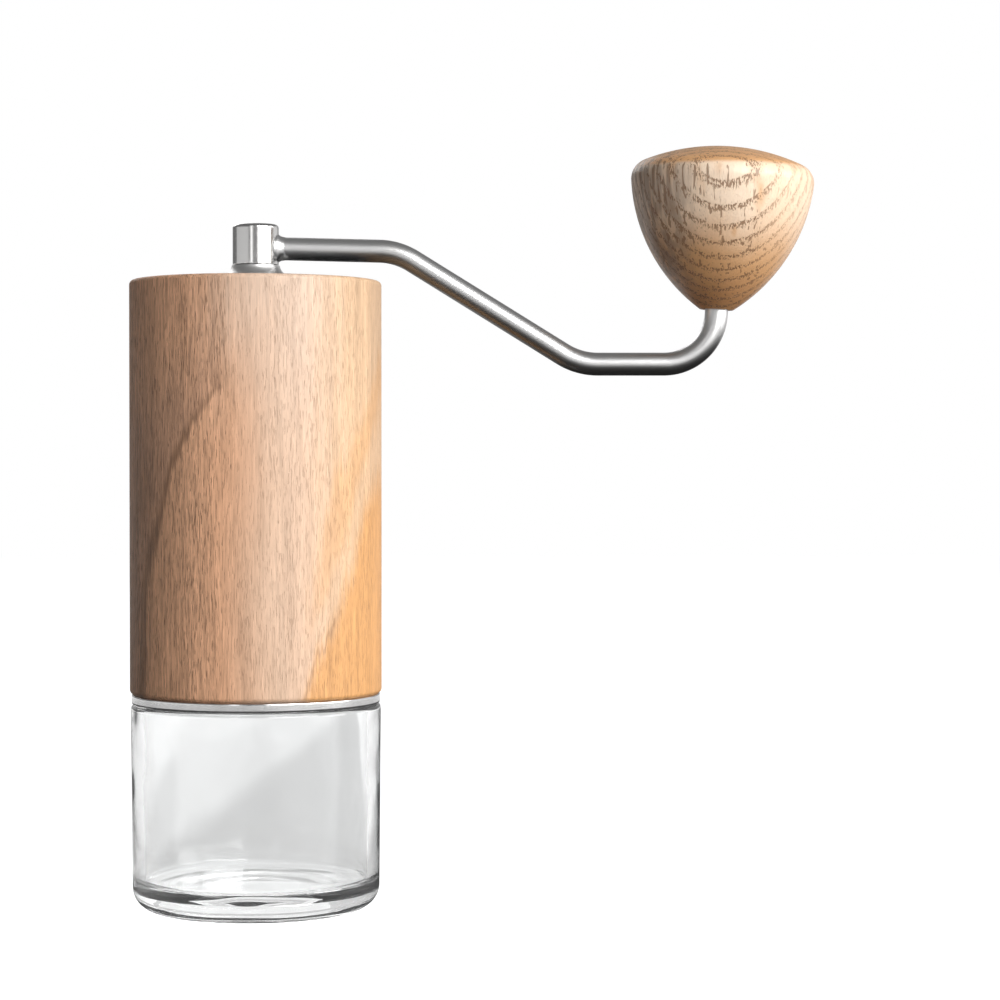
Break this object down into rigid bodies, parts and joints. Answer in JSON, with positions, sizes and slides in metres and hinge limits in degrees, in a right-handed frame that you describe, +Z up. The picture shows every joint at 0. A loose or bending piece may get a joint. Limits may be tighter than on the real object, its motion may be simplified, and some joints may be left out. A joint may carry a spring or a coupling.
{
  "type": "hand crank coffee grinder",
  "caption": "Hand coffee grinder: round wooden body on a screw-on glass catch jar, clear lid, bent steel crank with a wooden knob, and a conical burr set on a sprung axle with a click dial.",
  "frame": {"origin": "centre of the jar's foot, on the plane that it stands on", "axes": "+Z up along the axle, +X along the crank from the hub to the knob, +Y to the back of the picture"},
  "size_m": [0.1633, 0.06, 0.1817],
  "materials": {
    "walnut_wood": "oiled",
    "oak_wood": "oiled",
    "clear_glass": "clear",
    "clear_plastic": "clear plastic",
    "collar_steel": "polished",
    "crank_steel": "satin",
    "liner_steel": "satin",
    "burr_steel": "ground",
    "axle_steel": "ground",
    "bearing_steel": "polished",
    "spring_steel": "bright",
    "carrier_steel": "satin",
    "dial_steel": "satin",
    "carrier_plastic": "matte",
    "bridge_plastic": "matte",
    "bush_plastic": "matte",
    "seal_rubber": "matte"
  },
  "bodies": {
    "body": {"wooden_sleeve": "walnut_wood", "steel_liner": "liner_steel", "jar_collar": "collar_steel", "burr_carrier": "carrier_plastic", "ring_burr": "burr_steel", "burr_lock_ring": "carrier_steel", "hopper_funnel": "carrier_plastic", "lower_bridge": "bridge_plastic", "hopper_spacer": "liner_steel", "upper_bridge": "bridge_plastic", "snap_ring": "spring_steel", "lower_bearing_outer_race": "bearing_steel", "upper_bearing_outer_race": "bearing_steel"},
    "lid": {"lid": "clear_plastic"},
    "crank": {"crank_hub": "crank_steel", "crank_arm": "crank_steel", "lid_clip": "spring_steel", "knob_clip": "spring_steel"},
    "knob": {"knob": "oak_wood", "knob_bush": "bush_plastic"},
    "axle": {"axle": "axle_steel", "lower_bearing_inner_race": "bearing_steel", "upper_bearing_inner_race": "bearing_steel", "axle_circlip": "spring_steel", "spring_washer": "spring_steel", "burr_spring": "spring_steel"},
    "burr": {"cone_burr": "burr_steel", "click_disc": "spring_steel"},
    "dial": {"adjusting_dial": "dial_steel", "click_balls": "bearing_steel", "click_springs": "spring_steel"},
    "seal": {"jar_seal": "seal_rubber"},
    "jar": {"glass_jar": "clear_glass"}
  },
  "joints": [
    {"name": "lid_lift", "type": "slide", "parent": "body", "child": "lid", "axis": [0, 0, 1], "range_m": [0, 0.03]},
    {"name": "crank_turn", "type": "hinge", "parent": "lid", "child": "crank", "pos_m": [0, 0, 0.1535], "axis": [0, 0, 1], "continuous": true},
    {"name": "knob_spin", "type": "hinge", "parent": "crank", "child": "knob", "pos_m": [0.1101, 0, 0.1429], "axis": [0.0454, 0, 0.999], "continuous": true},
    {"name": "axle_turn", "type": "hinge", "parent": "body", "child": "axle", "pos_m": [0, 0, 0.1], "axis": [0, 0, 1], "continuous": true},
    {"name": "burr_drop", "type": "slide", "parent": "axle", "child": "burr", "axis": [0, 0, -1], "range_m": [-0.0006, 0.00075], "deforming": ["burr_spring"]},
    {"name": "dial_turn", "type": "hinge", "parent": "burr", "child": "dial", "pos_m": [0, 0, 0.06315], "axis": [0, 0, -1], "range_deg": [-433, 541]},
    {"name": "jar_turn", "type": "hinge", "parent": "body", "child": "seal", "pos_m": [0, 0, 0.05], "axis": [0, 0, -1], "range_deg": [-1, 721]},
    {"name": "jar_drop", "type": "slide", "parent": "seal", "child": "jar", "axis": [0, 0, -1], "range_m": [0, 0.008]}
  ],
  "couplings": [
    {"joint": "axle_turn", "follows": "crank_turn", "ratio": 1},
    {"joint": "dial_turn", "follows": "burr_drop", "rad_per_m": 12566},
    {"joint": "jar_turn", "follows": "jar_drop", "rad_per_m": 1570.8}
  ]
}
